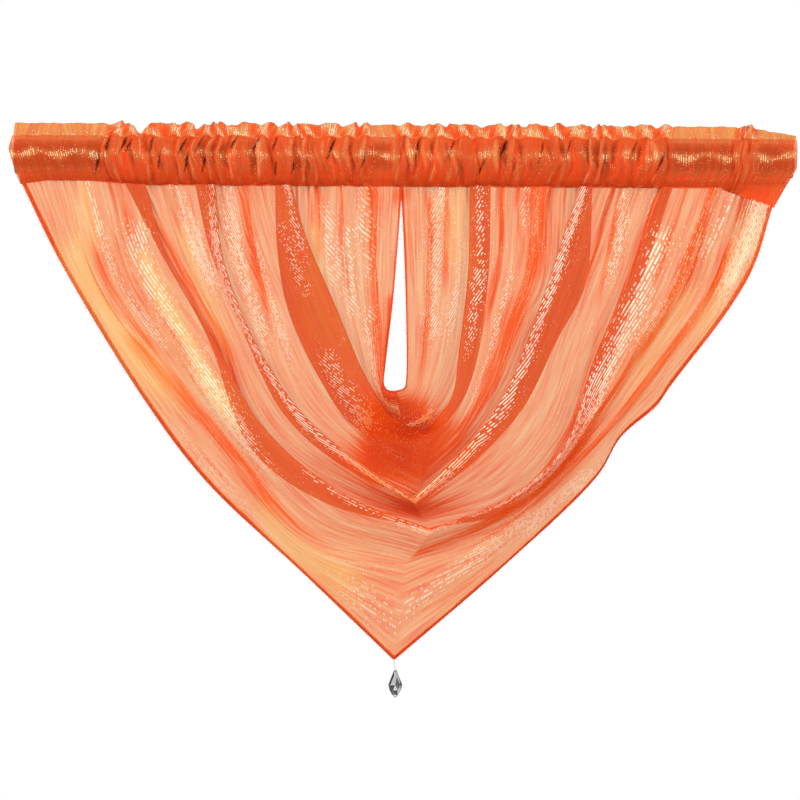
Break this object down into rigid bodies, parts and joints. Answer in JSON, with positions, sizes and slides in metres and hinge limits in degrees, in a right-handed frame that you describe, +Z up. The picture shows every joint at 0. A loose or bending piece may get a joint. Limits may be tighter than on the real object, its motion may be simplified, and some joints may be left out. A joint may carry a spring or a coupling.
{
  "type": "sheer swag curtain on a rod",
  "caption": "Sheer swag curtain gathered on a straight rod, draped in overlapping folds to a pointed overlocked hem with a faceted glass drop.",
  "frame": {"origin": "middle of the rod's axis, halfway along the rod", "axes": "+X along the rod to the viewer's right, -Y out of the front of the curtain, +Z up"},
  "size_m": [0.5597, 0.0546, 0.4089],
  "materials": {
    "rod_metal": "dark satin metal",
    "heading_cloth": "gathered sheer voile with metallic threads, several layers deep",
    "sheer_cloth": "sheer voile with fine gold metallic threads",
    "clear_thread": "clear nylon thread",
    "cut_glass": "polished facets"
  },
  "bodies": {
    "curtain": {"rod": "rod_metal", "heading": "heading_cloth", "swag_cloth": "sheer_cloth", "drop_thread": "clear_thread"},
    "glass_drop": {"crystal_drop": "cut_glass"}
  },
  "joints": [
    {"name": "drop_swing", "type": "hinge", "parent": "curtain", "child": "glass_drop", "pos_m": [-0.004, -0.012, -0.3659], "axis": [0, 1, 0], "range_deg": [-70, 70]}
  ]
}
